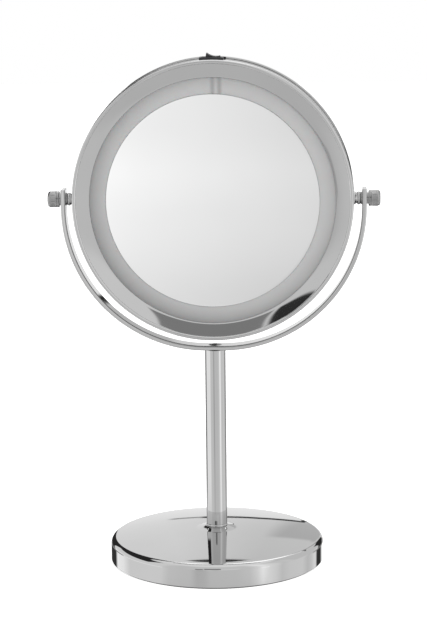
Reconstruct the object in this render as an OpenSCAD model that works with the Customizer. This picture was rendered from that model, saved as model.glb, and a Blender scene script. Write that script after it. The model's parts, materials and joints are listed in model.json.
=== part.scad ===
// Free-standing lit vanity and shaving mirror: a round two-sided head in a U-shaped yoke on a post
// and a weighted base. +Z is up, the lit mirror faces -Y, and the origin is on the table under the post.

/* [Head] */
// Height of the tilt axis above the table
pivot_z = 240; // [220:1:260]
// Radius of the head over its front lip
head_r = 90; // [88:0.5:94]
// Depth of the head from front lip to rear lip
head_depth = 34; // [34:0.5:38]
// Radius of the lit mirror's glass
mirror_r = 68.3; // [67.8:0.1:68.4]
// Radius of the opening in both bezels
bezel_open_r = 79; // [78.5:0.1:79.5]
// Radius of curvature of the magnifying rear mirror
magnifier_r = 1000; // [900:50:2000]
// Number of lamps on the ring board
led_count = 24; // [12:12:24]

/* [Yoke] */
// Thickness of the yoke strip
yoke_t = 3; // [2.8:0.1:3.3]
// Width of the yoke strip
yoke_w = 12.5; // [11:0.5:14]
// Gap between the drum and each yoke arm
arm_gap = 5.6; // [5.5:0.1:6]

/* [Post and base] */
// Outer diameter of the post tube
post_d = 13.4; // [12:0.1:13.6]
// Outer diameter of the base
base_d = 140; // [130:1:160]
// Height of the base's straight wall and shoulder
base_h = 16; // [15:0.5:20]
// Rise of the domed top above the shoulder
dome_rise = 5.4; // [4:0.2:8]

/* [Thumbscrews] */
// Outer diameter of the knurled knobs
knob_d = 10.4; // [9:0.1:12]
// Length of the knurled part
knob_len = 7.6; // [6:0.1:10]
// Number of straight flutes round each knob
knurl_count = 30; // [20:2:36]

/* [Switch] */
// Length of the rocker switch's flange
switch_l = 15.4; // [15:0.1:16]
// Width of the rocker switch's flange
switch_w = 10.5; // [10.3:0.1:10.8]
// Angle between the rocker's two positions
rocker_throw = 24; // [20:1:32]

/* [Hidden] */
$fn = 96;
eps = 0.5;              // how far a cutting tool runs past the face it cuts

// levels through the head, measured forward from its middle plane
half = head_depth / 2;
sheet_t = 0.7;          // bezel metal
bead_r = 1.3;           // rolled lip round each bezel
bead_end = 157;         // degrees round the lip to where the dish starts
dish_drop = 1.75;        // how far the bezel falls from lip to opening
bezel_in_f = half - 2.6;
diffuser_t = 1.4;
diffuser_f = bezel_in_f - sheet_t - diffuser_t;
ledge_t = 1.4;
glass_t = 1.9;
tape_t = 0.8;
carrier_t = 2;
carrier_f = diffuser_f - tape_t - carrier_t;
board_t = 1.2;
led_h = 1.6;
tray_floor_t = 1.2;
disc_t = 1.6;
tray_f = diffuser_f - 6.1;
disc_f = tray_f - disc_t;
board_f = tray_f + tray_floor_t;
board_top_f = board_f + board_t;

// radii through the head
band_r = head_r - 0.6;
band_t = 1;
band_in_r = band_r - band_t;
band_front_f = half - 2.5;
band_rear_f = -(half - 3.8);
rim_r = band_in_r - 0.1;
rim_t = 1.9;
rim_in_r = rim_r - rim_t;
rim_front_f = half - 6;
rim_rear_f = -(half - 5.1);
ledge_r = mirror_r - 2.3;
ring_in_r = mirror_r + 0.2;
ring_out_r = bezel_open_r + 1.4;
carrier_r = ledge_r - 0.6;
tray_in_r = ledge_r + 0.2;
tray_out_r = ring_out_r + 0.6;
board_in_r = mirror_r + 0.7;
board_out_r = tray_out_r - 1.4;
led_ring_r = (board_in_r + board_out_r) / 2 + 0.2;

// rear cover
rear_lip_r = head_r + 0.5;
rear_skirt_r = band_r + 0.2;
rear_glass_r = ring_out_r;
rear_glass_f = -(bezel_in_f - sheet_t - 0.05);
seat_gap = 0.6;
tape_play = 0.04;
rear_carrier_in_r = 62;
spigot_r = rim_in_r - 0.4;
lug_w = 10;             // degrees
cover_twist = 20;       // degrees from locked to free
lug_f = [-9.4, -7.6];

// pivot stack, measured out from the middle of the head along X
stud_r = 2.5;
shoulder_r = 2.95;
run_gap = 0.05;         // radial clearance of every turning fit
arm_in_x = head_r + arm_gap - 0.2;
arm_out_x = arm_in_x + yoke_t;
washer_x = arm_in_x - 0.05;
washer_t = 1.1;
collar_x = washer_x - washer_t;
insert_x = [79, rim_r - 0.1];
insert_r = 4;
boss_r = 6.1;
knob_neck_x = arm_out_x + 0.05;
knob_neck_l = 1.1;
knob_x = knob_neck_x + knob_neck_l;
stud_tip_x = 80.5;

// yoke: two quarter bends joined by a short flat over the post
bend_flat = 5;
bend_r = arm_out_x - bend_flat;
bend_z = pivot_z - 5.4;
yoke_bottom_z = bend_z - bend_r;
yoke_top_z = pivot_z + 6.6;
yoke_edge_r = 1;
yoke_screw_r = 2;
yoke_screw_head_r = 4.5;
yoke_screw_head_h = 0.7;

// base and post
base_r = base_d / 2;
base_sheet_t = 0.9;
base_foot_z = 1;
shoulder_rad = 4;
dome_r = base_r - shoulder_rad;
dome_power = 2;
flare_r = 13.7;
flare_h = 1.2;
flare_power = 1.6;
seat_r = 7;
seat_z = base_h + dome_rise * (1 - pow(seat_r / dome_r, dome_power)) + flare_h;
post_r = post_d / 2;
post_wall = 1;
foot_ring_h = 1.5;
tube_z = seat_z + foot_ring_h;
slug_r = post_r - post_wall - 0.02;
pad_t = 2;
weight_t = 6;
counterbore_r = 8.5;
counterbore_h = 4;
bolt_r = 3;
bolt_gap = 0.3;

// rocker switch on top of the drum
switch_f = half - 8.25;            // middle of the switch, forward of the head's middle
flange_t = 1.85;
flange_z = band_r + 0.05;          // above the tilt axis
body_l = 13.2;
body_w = 9.6;
body_bottom = band_r - 8.1;
cavity_l = 12.2;
cavity_w = 7.8;
rocker_w = 7.2;
rocker_pivot = band_r - 2.2;       // above the tilt axis
rocker_half = 4.45;
rocker_top = 6.1;
trunnion_r = 0.9;
terminal_x = [0.6, 5];
terminal_w = 2.4;
terminal_t = 0.6;

// four small round cells side by side
cell_r = 5.25;
cell_len = 43.7;
nub_r = 1.9;
nub_len = 0.8;
cell_pitch = 10.9;
cell_room = 50;
holder_wall = 1.4;
holder_w = 4 * cell_pitch + 0.4 + 2 * holder_wall;
holder_l = cell_room + 2 * holder_wall;
holder_floor_t = 1.2;
cell_f = disc_f - holder_floor_t - cell_r - 0.1;
holder_top_f = cell_f - 4.4;
plate_t = 0.4;
spring_wire = 0.3;
spring_len = cell_room - 2 * plate_t - cell_len - nub_len;
spring_turns = 3;
spring_steps = 30;
strips = [[1, 1, 1], [2, 3, 1], [4, 4, 1], [1, 2, -1], [3, 4, -1]]; // first cell, last cell, end
ear_pos = [28.2, 18];
lead_r = 0.7;
lead_x = 8;
lead_hole_y = 70;
screw_ring_r = 52;

// ---------------------------------------------------------------- helpers

// the head's own frame: local +Z points forward, local +Y points up
module in_head() {
  translate([0, 0, pivot_z]) rotate([90, 0, 0]) children();
}

// a piece drawn about +Z, laid along +X for the right side or -X for the left
module on_side(side) {
  translate([0, 0, pivot_z]) rotate([0, side * 90, 0]) children();
}

module ring(r_out, r_in, low, high) {
  translate([0, 0, low]) difference() {
    cylinder(r = r_out, h = high - low);
    translate([0, 0, -eps]) cylinder(r = r_in, h = high - low + 2 * eps);
  }
}

module block(low, high) {
  translate(low) cube(high - low);
}

function arc(cx, cy, r, a0, a1, steps) =
  [for (i = [0 : steps]) let (a = a0 + (a1 - a0) * i / steps) [cx + r * cos(a), cy + r * sin(a)]];

// ---------------------------------------------------------------- base

// height of the outer skin of the base over a point at radius r
function dome(r) =
  base_h + dome_rise * (1 - pow(r / dome_r, dome_power))
  + (r < flare_r ? flare_h * pow((flare_r - r) / (flare_r - seat_r), flare_power) : 0);
function skin_radii() =
  concat([seat_r, 8, 9.2, 10.6, 12, flare_r], [for (r = [18 : 6 : 60]) r], [dome_r - 1.5]);
function skin(drop) = [for (r = skin_radii()) [r, dome(r) - drop]];

module base_shell() {
  inner_r = base_r - base_sheet_t;
  outside = concat([[bolt_r + bolt_gap, seat_z]], skin(0),
    [for (p = arc(dome_r, base_h - shoulder_rad, shoulder_rad, 80, 0, 8)) p], [[base_r, base_foot_z]]);
  inside = concat([[bolt_r + bolt_gap, seat_z - base_sheet_t]], skin(base_sheet_t),
    [for (p = arc(dome_r, base_h - shoulder_rad, shoulder_rad - base_sheet_t, 80, 0, 8)) p],
    [[inner_r, base_foot_z]]);
  last = len(inside) - 1;
  color("silver") rotate_extrude()
    polygon(concat(outside, [for (i = [0 : last]) inside[last - i]]));
}

module base_weight() {
  weight_r = base_r - 1.6;
  top_z = pad_t + weight_t;
  hub_z = seat_z - base_sheet_t;
  color("dimgray") difference() {
    rotate_extrude() polygon([
      [0, pad_t], [weight_r - 1, pad_t], [weight_r, pad_t + 1], [weight_r, top_z - 1],
      [weight_r - 1, top_z], [15, top_z], [seat_r, top_z + 6],
      [seat_r, hub_z], [0, hub_z]
    ]);
    cylinder(r = bolt_r + bolt_gap, h = seat_z + eps);
    cylinder(r = counterbore_r, h = pad_t + counterbore_h);
  }
}

module base_pad() {
  color([0.12, 0.12, 0.12]) rotate_extrude()
    polygon([[0, 0], [base_r - 1.6, 0], [base_r - 1.2, 0.4], [base_r - 1.2, pad_t], [0, pad_t]]);
}

module base_washer() {
  ceiling = pad_t + counterbore_h;
  color("lightgray") ring(7.8, bolt_r + 0.2, ceiling - 1.2, ceiling);
}

module base_screw() {
  head_top = pad_t + counterbore_h - 1.2;
  color("gray") difference() {
    union() {
      translate([0, 0, head_top - 2.6]) cylinder(r = 5, h = 2.6);
      translate([0, 0, head_top]) cylinder(r = bolt_r - run_gap, h = 34);
    }
    translate([0, 0, head_top - 2.6 - eps]) cylinder(r = 2.3, h = 1.8 + eps, $fn = 6);
  }
}

// ---------------------------------------------------------------- post

module post_foot_ring() {
  r = post_r + 0.15;
  color("silver") rotate_extrude() polygon(concat(
    [[bolt_r + bolt_gap, seat_z]],
    arc(r - 0.5, seat_z + 0.5, 0.5, -90, 0, 4),
    arc(r - 0.5, tube_z - 0.5, 0.5, 0, 90, 4),
    [[bolt_r + bolt_gap, tube_z]]
  ));
}

module post_tube() {
  color("silver") ring(post_r, post_r - post_wall, tube_z, yoke_bottom_z);
}

module post_lower_insert() {
  color("gold") difference() {
    translate([0, 0, tube_z]) cylinder(r = slug_r, h = 20);
    translate([0, 0, tube_z - eps]) cylinder(r = bolt_r, h = 16 + eps);
  }
}

module post_upper_insert() {
  color("gold") difference() {
    translate([0, 0, yoke_bottom_z - 20]) cylinder(r = slug_r, h = 20);
    translate([0, 0, yoke_bottom_z - 16]) cylinder(r = yoke_screw_r, h = 16 + eps);
  }
}

// ---------------------------------------------------------------- yoke

// cross-section of the strip: thickness across x, width along y, with rounded corners
module strip_section() {
  flat_t = yoke_t - 2 * yoke_edge_r;
  flat_w = yoke_w - 2 * yoke_edge_r;
  translate([-flat_t / 2, -yoke_w / 2]) square([flat_t, yoke_w]);
  translate([-yoke_t / 2, -flat_w / 2]) square([yoke_t, flat_w]);
  for (sx = [-1, 1], sy = [-1, 1])
    translate([sx * flat_t / 2, sy * flat_w / 2]) circle(r = yoke_edge_r, $fn = 32);
}

module yoke() {
  mid_x = arm_out_x - yoke_t / 2;
  color("silver") difference() {
    union() {
      for (side = [0, 1]) mirror([side, 0, 0]) {
        translate([bend_flat, 0, bend_z]) rotate([90, 0, 0]) rotate([0, 0, -90])
          rotate_extrude(angle = 90) translate([bend_r - yoke_t / 2, 0]) strip_section();
        translate([mid_x, 0, bend_z]) linear_extrude(yoke_top_z - bend_z) strip_section();
      }
      translate([-bend_flat, 0, yoke_bottom_z + yoke_t / 2]) rotate([0, 90, 0])
        linear_extrude(2 * bend_flat) strip_section();
    }
    translate([-arm_out_x - eps, 0, pivot_z]) rotate([0, 90, 0])
      cylinder(r = shoulder_r + run_gap, h = 2 * (arm_out_x + eps));
    translate([0, 0, yoke_bottom_z - eps]) cylinder(r = yoke_screw_r + 0.2, h = yoke_t + 2 * eps);
  }
}

module yoke_screw() {
  seat = yoke_bottom_z + yoke_t;
  dome_rad = (pow(yoke_screw_head_r, 2) + pow(yoke_screw_head_h, 2)) / (2 * yoke_screw_head_h);
  rim_a = acos(yoke_screw_head_r / dome_rad);
  color("silver") difference() {
    union() {
      translate([0, 0, seat - 15]) cylinder(r = yoke_screw_r - run_gap, h = 15.2);
      rotate_extrude() polygon(concat([[0, seat]],
        arc(0, seat + yoke_screw_head_h - dome_rad, dome_rad, rim_a, 90, 8)));
    }
    translate([0, 0, seat + 0.3]) cylinder(r = 1.3, h = 1, $fn = 6);
  }
}

// ---------------------------------------------------------------- drum and chassis

// everything that has to give way to the switch body
module switch_clearance(side_gap) {
  block([-body_l / 2 - side_gap, body_bottom - side_gap, switch_f - body_w / 2 - side_gap],
        [body_l / 2 + side_gap, head_r + 2, switch_f + body_w / 2 + side_gap]);
}

module drum_band() {
  color("silver") in_head() difference() {
    ring(band_r, band_in_r, band_rear_f, band_front_f);
    switch_clearance(0.05);
    rotate([0, 90, 0]) translate([0, 0, -head_r]) cylinder(r = stud_r + 0.3, h = 2 * head_r);
  }
}

// an arc-shaped slot or lug in the head's frame, centred on angle a
module sector(r0, r1, f0, f1, a0, a1) {
  rotate([0, 0, a0]) rotate_extrude(angle = a1 - a0)
    polygon([[r0, f0], [r1, f0], [r1, f1], [r0, f1]]);
}

module chassis() {
  boss_x = insert_x[0] - 1;
  color("whitesmoke") in_head() difference() {
    union() {
      translate([0, 0, disc_f]) cylinder(r = rim_r, h = disc_t);
      ring(rim_r, rim_in_r, rim_rear_f, rim_front_f);
      for (side = [-1, 1]) rotate([0, side * 90, 0]) translate([0, 0, boss_x])
        cylinder(r = boss_r, h = rim_in_r + 0.5 - boss_x);
      for (a = [0 : 45 : 315]) rotate([0, 0, a + 22.5])
        block([holder_w, -0.8, disc_f - 4], [rim_in_r + 0.5, 0.8, disc_f + 0.2]);
    }
    for (side = [-1, 1]) rotate([0, side * 90, 0]) translate([0, 0, boss_x + 0.8])
      cylinder(r = insert_r, h = rim_r);
    switch_clearance(0.1);
    for (a = [90, 210, 330]) {
      sector(rim_in_r - eps, rim_in_r + 1.1, lug_f[0] - 0.3, lug_f[1] + 0.3,
             a - lug_w / 2 - cover_twist - 1, a + lug_w / 2 + 0.5);
      sector(rim_in_r - eps, rim_in_r + 1.1, rim_rear_f - eps, lug_f[1] + 0.3,
             a - lug_w / 2 - cover_twist - 1, a + lug_w / 2 - cover_twist + 1);
    }
    for (a = [45 : 90 : 315]) rotate([0, 0, a]) translate([screw_ring_r, 0, disc_f - eps])
      cylinder(r = 1.4, h = disc_t + 2 * eps);
    for (sx = [-1, 1], sy = [-1, 1]) translate([sx * ear_pos.x, sy * ear_pos.y, disc_f - eps])
      cylinder(r = 1, h = disc_t + 2 * eps);
    for (sx = [-1, 1]) translate([sx * lead_x, lead_hole_y, disc_f - eps])
      cylinder(r = 1.2, h = disc_t + 2 * eps);
  }
}

// dished face of a bezel between its opening and the bead, forward of the middle plane
function dish(r_out, steps) = [for (i = [0 : steps]) let (t = 1 - i / steps)
  [bezel_open_r + t * (r_out - bezel_open_r), bezel_in_f + dish_drop * pow(t, 1.15)]];

module front_bezel() {
  bead_c = head_r - bead_r;
  spigot_in = rim_r - 1;
  color("silver") in_head() difference() {
    rotate_extrude() polygon(concat(
      [[rim_r, rim_front_f + 0.1], [rim_r, band_front_f + 0.05], [head_r, band_front_f + 0.05]],
      arc(bead_c, half - bead_r, bead_r, 0, bead_end, 10),
      dish(bead_c + bead_r * cos(bead_end) - 0.1, 10),
      [[bezel_open_r, bezel_in_f - sheet_t], [ring_out_r, bezel_in_f - sheet_t],
       [spigot_in, bezel_in_f + dish_drop - sheet_t - 0.3], [spigot_in, rim_front_f + 0.1]]
    ));
    block([-body_l / 2 - 0.4, body_bottom + 1, rim_front_f - eps],
          [body_l / 2 + 0.4, rim_r + 0.4, switch_f + body_w / 2 + 0.15]);
  }
}

// ---------------------------------------------------------------- mirror, light and board

module diffuser_ring() {
  color([0.86, 0.87, 0.87]) in_head() rotate_extrude() polygon([
    [ledge_r, diffuser_f - ledge_t], [ledge_r + 4, diffuser_f - ledge_t], [ledge_r + 4, diffuser_f],
    [ring_out_r, diffuser_f], [ring_out_r, diffuser_f + diffuser_t],
    [ring_in_r, diffuser_f + diffuser_t], [ring_in_r, diffuser_f], [ledge_r, diffuser_f]
  ]);
}

module front_mirror() {
  edge = 0.25;
  color([0.93, 0.94, 0.95]) in_head() translate([0, 0, diffuser_f]) rotate_extrude() polygon([
    [0, 0], [mirror_r, 0], [mirror_r, glass_t - edge], [mirror_r - edge, glass_t], [0, glass_t]
  ]);
}

module mirror_tape() {
  color("white") in_head() ring(carrier_r - 1, 20, diffuser_f - tape_t, diffuser_f);
}

module mirror_carrier() {
  color("whitesmoke") in_head() difference() {
    union() {
      translate([0, 0, carrier_f]) cylinder(r = carrier_r, h = carrier_t);
      for (a = [45 : 90 : 315]) rotate([0, 0, a]) translate([screw_ring_r, 0, tray_f])
        cylinder(r = 3.2, h = carrier_f - tray_f + 0.2);
      ring(carrier_r, carrier_r - 1.4, tray_f + 0.2, carrier_f + 0.2);
    }
    for (a = [45 : 90 : 315]) rotate([0, 0, a]) translate([screw_ring_r, 0, tray_f - eps])
      cylinder(r = 1.2, h = 4.5 + eps);
  }
}

module light_tray() {
  color("white") in_head() difference() {
    rotate_extrude() polygon([
      [tray_in_r, tray_f], [tray_out_r, tray_f], [tray_out_r, diffuser_f - 0.1],
      [tray_out_r - 1.2, diffuser_f - 0.1], [tray_out_r - 1.2, tray_f + tray_floor_t],
      [tray_in_r + 1.2, tray_f + tray_floor_t], [tray_in_r + 1.2, diffuser_f - ledge_t - 0.1],
      [tray_in_r, diffuser_f - ledge_t - 0.1]
    ]);
    block([terminal_x[0] - 1.8, 77, tray_f + tray_floor_t + 1],
          [terminal_x[1] + 1.8, 84, diffuser_f + 1]);
    board_screw_places() translate([0, 0, -2]) cylinder(r = 0.9, h = 3);
    for (sx = [-1, 1]) translate([sx * lead_x, lead_hole_y, tray_f - eps])
      cylinder(r = 1.2, h = tray_floor_t + 2 * eps);
  }
}

// six places round the board, at its back face
module board_screw_places() {
  for (a = [0 : 60 : 300]) rotate([0, 0, a]) translate([board_out_r - 3, 0, board_f]) children();
}

module led_board() {
  color("white") in_head() difference() {
    ring(board_out_r, board_in_r, board_f, board_top_f);
    board_screw_places() translate([0, 0, -eps]) cylinder(r = 1, h = board_t + 2 * eps);
  }
}

module leds() {
  step = 360 / led_count;
  color([0.98, 0.93, 0.6]) in_head() for (i = [0 : led_count - 1]) rotate([0, 0, (i + 0.5) * step])
    translate([led_ring_r, 0, board_top_f]) difference() {
      translate([-1.4, -1.75, 0]) cube([2.8, 3.5, led_h]);
      translate([0, 0, led_h - 0.4]) cylinder(r1 = 0.9, r2 = 1.1, h = 0.5);
    }
}

module resistors() {
  color([0.15, 0.15, 0.16]) in_head() for (a = [22.5 : 45 : 337.5]) rotate([0, 0, a])
    translate([board_in_r + 1.4, -1.6, board_top_f]) cube([1.6, 3.2, 0.6]);
}

// pan head screw pointing along +Z from its seat at z = 0
module pan_screw(head_radius, head_h, shank_r, length) {
  difference() {
    union() {
      rotate_extrude() polygon([
        [0, -head_h], [head_radius - 0.4, -head_h], [head_radius, -head_h + 0.4], [head_radius, 0], [0, 0]
      ]);
      cylinder(r = shank_r, h = length);
    }
    for (a = [0, 90]) rotate([0, 0, a]) translate([-head_radius * 0.6, -0.25, -head_h - eps])
      cube([head_radius * 1.2, 0.5, head_h * 0.5 + eps]);
  }
}

module board_screws() {
  color("silver") in_head() board_screw_places() translate([0, 0, board_t])
    mirror([0, 0, 1]) pan_screw(1.6, 0.9, 0.85, board_t + 0.9);
}

module chassis_screws() {
  color("silver") in_head() for (a = [45 : 90 : 315]) rotate([0, 0, a])
    translate([screw_ring_r, 0, disc_f]) pan_screw(2.4, 1.4, 1.15, 5.6);
}

// ---------------------------------------------------------------- pivots and thumbscrews

module pivot_insert(side) {
  color("gold") on_side(side) difference() {
    translate([0, 0, insert_x[0]]) cylinder(r = insert_r - 0.02, h = insert_x[1] - insert_x[0]);
    translate([0, 0, insert_x[0] - eps])
      cylinder(r = stud_r + run_gap, h = insert_x[1] - insert_x[0] + 2 * eps);
  }
}

// spool-shaped spacer with a groove round its middle
module collar(side) {
  outer = 4.3;
  low = band_r + 0.02;
  mid = (low + collar_x) / 2;
  color("silver") on_side(side) rotate_extrude() polygon(concat(
    [[stud_r + 0.15, low], [outer - 0.9, low]],
    arc(outer - 0.9, low + 0.9, 0.9, -90, 40, 6),
    [[outer - 0.75, mid]],
    arc(outer - 0.9, collar_x - 0.9, 0.9, -40, 90, 6),
    [[stud_r + 0.15, collar_x]]
  ));
}

module dished_washer(side) {
  color("darkgray") on_side(side) rotate_extrude() polygon([
    [shoulder_r + 0.1, collar_x + 0.03], [3.6, collar_x + 0.03],
    [4.15, washer_x - 0.3], [4.15, washer_x], [shoulder_r + 0.1, washer_x]
  ]);
}

module stud(side) {
  color("darkgray") on_side(side) {
    translate([0, 0, stud_tip_x]) cylinder(r = stud_r, h = collar_x - stud_tip_x);
    translate([0, 0, collar_x]) cylinder(r = shoulder_r, h = knob_x + 3 - collar_x);
  }
}

module knob(side) {
  r = knob_d / 2;
  end_x = knob_x + knob_len;
  groove_x = knob_x + 1.5;
  color("darkgray") on_side(side) difference() {
    rotate_extrude() polygon(concat(
      [[0, knob_neck_x], [3.8, knob_neck_x], [3.8, knob_x]],
      arc(r - 0.6, knob_x + 0.6, 0.6, -90, 0, 4),
      [[r, groove_x - 0.25], [r - 0.25, groove_x], [r, groove_x + 0.25]],
      arc(r - 1.4, end_x - 1.4, 1.4, 0, 60, 5),
      [[0, end_x]]
    ));
    translate([0, 0, knob_neck_x - eps]) cylinder(r = shoulder_r, h = knob_x + 3 - knob_neck_x + eps);
    for (i = [0 : knurl_count - 1]) rotate([0, 0, i * 360 / knurl_count])
      translate([r + 0.18, 0, groove_x + 0.5]) cylinder(r = 0.36, h = knob_len - 3.4, $fn = 16);
  }
}

// ---------------------------------------------------------------- switch

module switch_body() {
  top = flange_z + flange_t;
  color([0.07, 0.07, 0.08]) in_head() difference() {
    union() {
      block([-switch_l / 2, flange_z - 0.8, switch_f - switch_w / 2],
            [switch_l / 2, top, switch_f + switch_w / 2]);
      block([-body_l / 2, body_bottom, switch_f - body_w / 2],
            [body_l / 2, top - 0.2, switch_f + body_w / 2]);
    }
    // the flange's underside follows the drum outside the body
    difference() {
      cylinder(r = flange_z, h = head_r, center = true);
      block([-body_l / 2, 0, switch_f - body_w / 2], [body_l / 2, head_r + 5, switch_f + body_w / 2]);
    }
    block([-cavity_l / 2, rocker_pivot - 4.2, switch_f - cavity_w / 2],
          [cavity_l / 2, top + eps, switch_f + cavity_w / 2]);
    translate([0, rocker_pivot, switch_f - body_w / 2 + 0.3])
      cylinder(r = trunnion_r + run_gap, h = body_w - 0.6, $fn = 32);
  }
}

module switch_terminals() {
  color("gold") in_head() for (x = terminal_x)
    block([x - terminal_w / 2, board_in_r + 2.2, board_top_f],
          [x + terminal_w / 2, body_bottom, board_top_f + terminal_t]);
}

// outline of the rocker about its pivot, level: a shallow valley between two raised ends
module rocker_outline() {
  polygon(concat(
    [[-3.3, -1.2]], arc(0, -0.4, 3.2, 200, 340, 8), [[3.3, -1.2]],
    [[rocker_half - 0.1, 3], [rocker_half, rocker_top - 0.3], [rocker_half - 0.25, rocker_top]],
    [for (i = [-4 : 4]) [-i * 0.95, rocker_top - 1.15 + 1.05 * pow(i / 4.4, 2)]],
    [[-rocker_half + 0.25, rocker_top], [-rocker_half, rocker_top - 0.3], [-rocker_half + 0.1, 3]]
  ));
}

module switch_rocker() {
  color([0.05, 0.05, 0.06]) in_head() translate([0, rocker_pivot, switch_f])
    rotate([0, 0, -rocker_throw / 2]) {
      linear_extrude(rocker_w, center = true) rocker_outline();
      cylinder(r = trunnion_r, h = body_w - 0.9, center = true, $fn = 32);
    }
}

// ---------------------------------------------------------------- battery compartment

function cell_x(i) = (i - 2.5) * cell_pitch;
function cell_up(i) = i % 2 == 1 ? 1 : -1;

module battery_tray() {
  base = disc_f;
  color("gainsboro") in_head() difference() {
    union() {
      block([-holder_w / 2, -holder_l / 2, holder_top_f], [holder_w / 2, holder_l / 2, base]);
      for (sx = [-1, 1], sy = [-1, 1]) tray_ear(sx, sy);
    }
    block([-holder_w / 2 + holder_wall, -cell_room / 2, holder_top_f - eps],
          [holder_w / 2 - holder_wall, cell_room / 2, base - holder_floor_t]);
    for (sx = [-1, 1], sy = [-1, 1]) translate([sx * ear_pos.x, sy * ear_pos.y, base - 3])
      cylinder(r = 1.2, h = 4);
    // finger scoop along one side
    block([holder_w / 2 - holder_wall - eps, -9, holder_top_f - eps],
          [holder_w / 2 + eps, 9, cell_f]);
    // slots for the two leads in the top wall
    for (sx = [-1, 1]) block([sx * cell_x(4) - 1, cell_room / 2 - eps, base - 3.2],
                             [sx * cell_x(4) + 1, holder_l / 2 + eps, base - 1]);
  }
}

module tray_ear(sx, sy) {
  translate([sx * ear_pos.x, sy * ear_pos.y, disc_f - 1.6]) cylinder(r = 3.2, h = 1.6);
  x_in = holder_w / 2 - 0.5;
  block([sx > 0 ? x_in : -ear_pos.x, sy * ear_pos.y - 3.2, disc_f - 1.6],
        [sx > 0 ? ear_pos.x : -x_in, sy * ear_pos.y + 3.2, disc_f]);
}

module battery(i) {
  far = cell_room / 2 - plate_t;
  color([0.75, 0.6, 0.25]) in_head() translate([cell_x(i), cell_up(i) * far, cell_f])
    rotate([cell_up(i) * 90, 0, 0]) rotate_extrude() polygon([
      [0, 0], [nub_r, 0], [nub_r, nub_len], [cell_r - 0.4, nub_len], [cell_r, nub_len + 0.4],
      [cell_r, cell_len + nub_len - 0.3], [cell_r - 0.3, cell_len + nub_len], [0, cell_len + nub_len]
    ]);
}

module contact_plates() {
  color("silver") in_head() for (s = strips) {
    y = s[2] * (cell_room / 2 - plate_t / 2);
    block([cell_x(s[0]) - 4.2, y - plate_t / 2, cell_f - 3.8],
          [cell_x(s[1]) + 4.2, y + plate_t / 2, cell_f + 4.2]);
  }
}

// a closed tube of radius r along a path, its rings turned about the given reference direction
function tangent(path, k) =
  let (d = path[min(k + 1, len(path) - 1)] - path[max(k - 1, 0)]) d / norm(d);
function tube_ring(path, k, r, sides, ref) = let (
    t = tangent(path, k),
    u = cross(t, ref) / norm(cross(t, ref)),
    v = cross(t, u)
  ) [for (j = [0 : sides - 1]) let (b = 360 * j / sides) path[k] + r * (cos(b) * u + sin(b) * v)];

module tube(path, r, sides, ref) {
  n = sides;
  last = len(path) - 1;
  points = [for (k = [0 : last]) each tube_ring(path, k, r, n, ref)];
  walls = [for (k = [0 : last - 1], j = [0 : n - 1], half_quad = [0, 1])
    let (a = k * n + j, b = k * n + (j + 1) % n)
    half_quad == 0 ? [a, a + n, b + n] : [a, b + n, b]];
  start_cap = [for (j = [0 : n - 1]) j];
  end_cap = [for (j = [0 : n - 1]) last * n + n - 1 - j];
  polyhedron(points, concat(walls, [start_cap], [end_cap]));
}

// one conical spring wound round +Z from z = 0 up
function coil_path() = [for (k = [0 : spring_steps]) let (
    t = k / spring_steps,
    a = 360 * spring_turns * t,
    r = 3.4 - 1.4 * t
  ) [r * cos(a), r * sin(a), spring_wire + (spring_len - 2 * spring_wire) * t]];

module contact_springs() {
  color("silver") in_head() for (i = [1 : 4])
    translate([cell_x(i), -cell_up(i) * (cell_room / 2 - plate_t), cell_f])
      rotate([-cell_up(i) * 90, 0, 0]) tube(coil_path(), spring_wire, 6, [0, 0, 1]);
}

// a lead from the outer contact, along the back of the chassis and through it to the board
module lead(side) {
  run_f = disc_f - 1.2;
  end_x = -side * cell_x(4);
  turn_x = -side * lead_x;
  in_head() tube([
    [end_x, 25.1, run_f - 0.8], [end_x, 32, run_f - 0.8], [end_x, 36, run_f - 0.4],
    [(end_x + turn_x) / 2, 44, run_f], [turn_x, 52, run_f], [turn_x, 60, run_f],
    [turn_x, lead_hole_y - 3, run_f], [turn_x, lead_hole_y - 0.9, run_f + 0.5],
    [turn_x, lead_hole_y, run_f + 2], [turn_x, lead_hole_y, board_f]
  ], lead_r, 8, [1, 0, 0]);
}

module tray_screws() {
  color("silver") in_head() for (sx = [-1, 1], sy = [-1, 1])
    translate([sx * ear_pos.x, sy * ear_pos.y, disc_f - 1.6]) pan_screw(2.2, 1.3, 0.98, 3);
}

// ---------------------------------------------------------------- rear cover

// faces of the concave rear glass at radius r: seen side and back side
function rear_face(r) = rear_glass_f + (pow(rear_glass_r, 2) - pow(r, 2)) / (2 * magnifier_r);
function rear_back(r) = rear_face(r) + glass_t;

module rear_mirror() {
  rings = [for (i = [0 : 16]) rear_glass_r * i / 16];
  color([0.93, 0.94, 0.95]) in_head() rotate_extrude() polygon(concat(
    [for (r = rings) [r, rear_face(r)]],
    [for (i = [0 : 16]) [rings[16 - i], rear_back(rings[16 - i])]]
  ));
}

module rear_tape() {
  r0 = rear_carrier_in_r + 3;
  r1 = rear_glass_r - 3;
  color("white") in_head() rotate_extrude() polygon([
    [r0, rear_back(r0) + tape_play], [r1, rear_back(r1) + tape_play],
    [r1, rear_back(r1) + seat_gap - tape_play], [r0, rear_back(r0) + seat_gap - tape_play]
  ]);
}

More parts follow.
